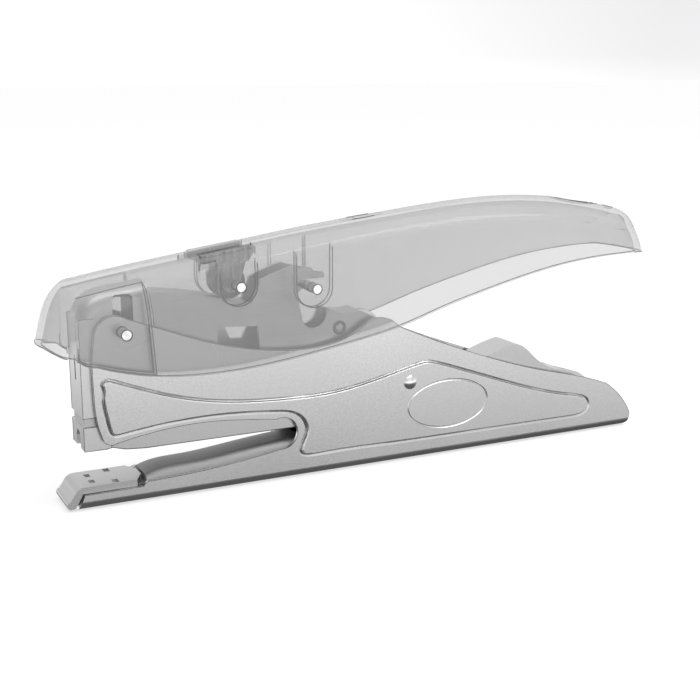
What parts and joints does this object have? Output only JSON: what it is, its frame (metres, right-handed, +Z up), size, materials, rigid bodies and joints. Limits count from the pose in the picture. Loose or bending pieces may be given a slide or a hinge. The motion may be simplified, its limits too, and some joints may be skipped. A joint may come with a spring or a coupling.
{
  "type": "long reach stapler",
  "caption": "Plier stapler with a long open throat: folded metal body with anvil arm, hinged magazine and head, and a curved clear squeeze lever over an inner drive lever.",
  "frame": {"origin": "middle of the overall box, on the plane that the flat underside of the body rests on", "axes": "+X from the nose to the tail, +Y across the stapler, +Z up"},
  "size_m": [0.1742, 0.022, 0.0694],
  "materials": {
    "body_steel": "satin nickel-plated steel with a very fine grain",
    "arm_steel": "satin pressed steel",
    "cap_steel": "satin formed steel, polished in the staple pockets",
    "lever_steel": "plain rolled steel sheet",
    "head_steel": "satin nickel-plated steel sheet",
    "grip_steel": "satin nickel-plated steel sheet",
    "dark_steel": "hardened steel, darker and oiled",
    "bracket_steel": "bent and brushed steel sheet",
    "magazine_steel": "plated steel sheet",
    "spring_steel": "drawn spring wire",
    "pin_steel": "bright turned steel",
    "staple_wire": "galvanised staple wire",
    "clear_plastic": "clear smoke-grey moulding, glossy"
  },
  "bodies": {
    "frame": {"frame_shell": "body_steel", "anvil_arm": "arm_steel", "anvil_cap": "cap_steel", "front_pin": "pin_steel", "pivot_saddle": "dark_steel", "drive_pin": "pin_steel", "magazine_rivet": "pin_steel", "magazine_spring": "spring_steel", "return_spring": "spring_steel"},
    "squeeze_lever": {"lever_shell": "clear_plastic", "roller_pin": "pin_steel", "lift_pin": "pin_steel", "press_bracket": "bracket_steel"},
    "roller": {"drive_roller": "dark_steel"},
    "drive_lever_body": {"drive_lever": "lever_steel", "tip_pin": "pin_steel"},
    "magazine": {"head_shell": "head_steel", "head_core": "dark_steel", "head_spacer": "lever_steel", "head_nose": "head_steel", "magazine_channel": "magazine_steel", "staple_rail": "lever_steel", "staple_strip": "staple_wire"},
    "driver": {"driver_blade": "dark_steel", "driver_carrier": "dark_steel"},
    "loading_rod": {"pusher_rod": "spring_steel", "rear_grip": "grip_steel", "pusher_spring": "spring_steel"},
    "pusher_body": {"pusher": "dark_steel"}
  },
  "joints": [
    {"name": "squeeze", "type": "hinge", "parent": "frame", "child": "squeeze_lever", "pos_m": [-0.0682, 0, 0.0431], "axis": [0, 1, 0], "range_deg": [0, 11.5], "stiffness_Nm_per_rad": 3, "springref_deg": -14.32},
    {"name": "roller_spin", "type": "hinge", "parent": "squeeze_lever", "child": "roller", "pos_m": [-0.0394, 0, 0.0521], "axis": [0, 1, 0], "continuous": true},
    {"name": "drive", "type": "hinge", "parent": "frame", "child": "drive_lever_body", "pos_m": [-0.0099, 0, 0.038], "axis": [0, -1, 0], "range_deg": [0, 11], "deforming": ["return_spring"]},
    {"name": "magazine_swing", "type": "hinge", "parent": "frame", "child": "magazine", "pos_m": [0.0096, 0, 0.0217], "axis": [0, -1, 0], "range_deg": [0, 4.7], "deforming": ["magazine_spring"]},
    {"name": "driver_stroke", "type": "slide", "parent": "magazine", "child": "driver", "axis": [0, 0, -1], "range_m": [0, 0.0056]},
    {"name": "loading_rod_pull", "type": "slide", "parent": "magazine", "child": "loading_rod", "axis": [1, 0, 0], "range_m": [0, 0.13]},
    {"name": "pusher_follow", "type": "slide", "parent": "loading_rod", "child": "pusher_body", "axis": [1, 0, 0], "range_m": [0, 0.01], "stiffness_N_per_m": 40, "springref_m": -0.02, "deforming": ["pusher_spring"]}
  ],
  "couplings": [
    {"joint": "drive", "follows": "squeeze", "ratio": 0.95},
    {"joint": "magazine_swing", "follows": "squeeze", "ratio": 0.4},
    {"joint": "driver_stroke", "follows": "squeeze", "m_per_rad": 0.027402}
  ]
}
